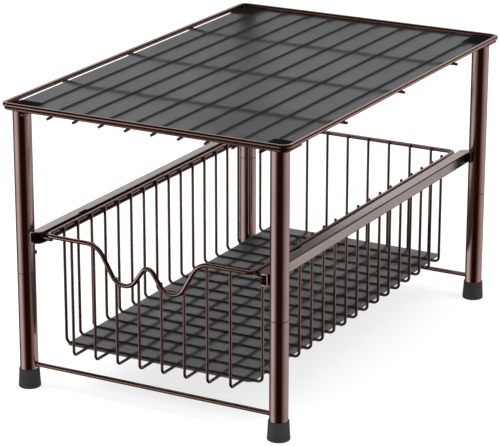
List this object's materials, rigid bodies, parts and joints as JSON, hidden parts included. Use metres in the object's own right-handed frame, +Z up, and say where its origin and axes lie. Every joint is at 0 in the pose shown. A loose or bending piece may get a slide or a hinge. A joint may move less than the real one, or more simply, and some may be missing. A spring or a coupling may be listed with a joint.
{
  "type": "under sink organizer",
  "caption": "Wire shelf on four tube legs with a sliding wire basket below, for under a sink.",
  "frame": {"origin": "on the floor, midway between the four feet", "axes": "+X to the right, +Y to the back, +Z up; the basket slides out towards -Y"},
  "size_m": [0.278, 0.426, 0.2574],
  "materials": {
    "bronze_metal": "satin",
    "rubber": "matte",
    "frosted_plastic": "frosted, translucent",
    "spring_steel": "satin"
  },
  "bodies": {
    "frame": {"corner_plate_back_left": "bronze_metal", "corner_plate_back_right": "bronze_metal", "corner_plate_front_left": "bronze_metal", "corner_plate_front_right": "bronze_metal", "foot_back_left": "rubber", "foot_back_right": "rubber", "foot_front_left": "rubber", "foot_front_right": "rubber", "front_floor_bar": "bronze_metal", "front_shelf_bar": "bronze_metal", "left_rail": "bronze_metal", "lower_leg_back_left": "bronze_metal", "lower_leg_back_right": "bronze_metal", "lower_leg_front_left": "bronze_metal", "lower_leg_front_right": "bronze_metal", "lower_spring_back_left": "spring_steel", "lower_spring_back_right": "spring_steel", "lower_spring_front_left": "spring_steel", "lower_spring_front_right": "spring_steel", "rear_floor_bar": "bronze_metal", "rear_shelf_bar": "bronze_metal", "right_rail": "bronze_metal", "shelf_cross_wires": "bronze_metal", "shelf_liner": "frosted_plastic", "shelf_long_wires": "bronze_metal", "shelf_rim": "bronze_metal", "spigot_back_left": "bronze_metal", "spigot_back_right": "bronze_metal", "spigot_front_left": "bronze_metal", "spigot_front_right": "bronze_metal", "upper_leg_back_left": "bronze_metal", "upper_leg_back_right": "bronze_metal", "upper_leg_front_left": "bronze_metal", "upper_leg_front_right": "bronze_metal", "upper_spring_back_left": "spring_steel", "upper_spring_back_right": "spring_steel", "upper_spring_front_left": "spring_steel", "upper_spring_front_right": "spring_steel"},
    "basket": {"basket_rim": "bronze_metal", "basket_side_wires": "bronze_metal", "basket_long_wires": "bronze_metal", "left_runner": "bronze_metal", "right_runner": "bronze_metal", "basket_liner": "frosted_plastic"},
    "snap_lower_front_left": {"lower_button_front_left": "bronze_metal"},
    "snap_lower_front_right": {"lower_button_front_right": "bronze_metal"},
    "snap_lower_back_left": {"lower_button_back_left": "bronze_metal"},
    "snap_lower_back_right": {"lower_button_back_right": "bronze_metal"},
    "snap_upper_front_left": {"upper_button_front_left": "bronze_metal"},
    "snap_upper_front_right": {"upper_button_front_right": "bronze_metal"},
    "snap_upper_back_left": {"upper_button_back_left": "bronze_metal"},
    "snap_upper_back_right": {"upper_button_back_right": "bronze_metal"}
  },
  "joints": [
    {"name": "basket_slide", "type": "slide", "parent": "frame", "child": "basket", "axis": [0, -1, 0], "range_m": [0, 0.3]},
    {"name": "press_lower_front_left", "type": "slide", "parent": "frame", "child": "snap_lower_front_left", "axis": [-0.766, -0.6428, 0], "range_m": [0, 0.0025], "stiffness_N_per_m": 2000, "springref_m": -0.001, "deforming": ["lower_spring_front_left"]},
    {"name": "press_lower_front_right", "type": "slide", "parent": "frame", "child": "snap_lower_front_right", "axis": [0.1736, -0.9848, 0], "range_m": [0, 0.0025], "stiffness_N_per_m": 2000, "springref_m": -0.001, "deforming": ["lower_spring_front_right"]},
    {"name": "press_lower_back_left", "type": "slide", "parent": "frame", "child": "snap_lower_back_left", "axis": [0.766, 0.6428, 0], "range_m": [0, 0.0025], "stiffness_N_per_m": 2000, "springref_m": -0.001, "deforming": ["lower_spring_back_left"]},
    {"name": "press_lower_back_right", "type": "slide", "parent": "frame", "child": "snap_lower_back_right", "axis": [-0.1736, 0.9848, 0], "range_m": [0, 0.0025], "stiffness_N_per_m": 2000, "springref_m": -0.001, "deforming": ["lower_spring_back_right"]},
    {"name": "press_upper_front_left", "type": "slide", "parent": "frame", "child": "snap_upper_front_left", "axis": [-0.6157, 0.788, 0], "range_m": [0, 0.0025], "stiffness_N_per_m": 2000, "springref_m": -0.001, "deforming": ["upper_spring_front_left"]},
    {"name": "press_upper_front_right", "type": "slide", "parent": "frame", "child": "snap_upper_front_right", "axis": [0.6157, -0.788, 0], "range_m": [0, 0.0025], "stiffness_N_per_m": 2000, "springref_m": -0.001, "deforming": ["upper_spring_front_right"]},
    {"name": "press_upper_back_left", "type": "slide", "parent": "frame", "child": "snap_upper_back_left", "axis": [-0.6157, 0.788, 0], "range_m": [0, 0.0025], "stiffness_N_per_m": 2000, "springref_m": -0.001, "deforming": ["upper_spring_back_left"]},
    {"name": "press_upper_back_right", "type": "slide", "parent": "frame", "child": "snap_upper_back_right", "axis": [0.6157, -0.788, 0], "range_m": [0, 0.0025], "stiffness_N_per_m": 2000, "springref_m": -0.001, "deforming": ["upper_spring_back_right"]}
  ]
}
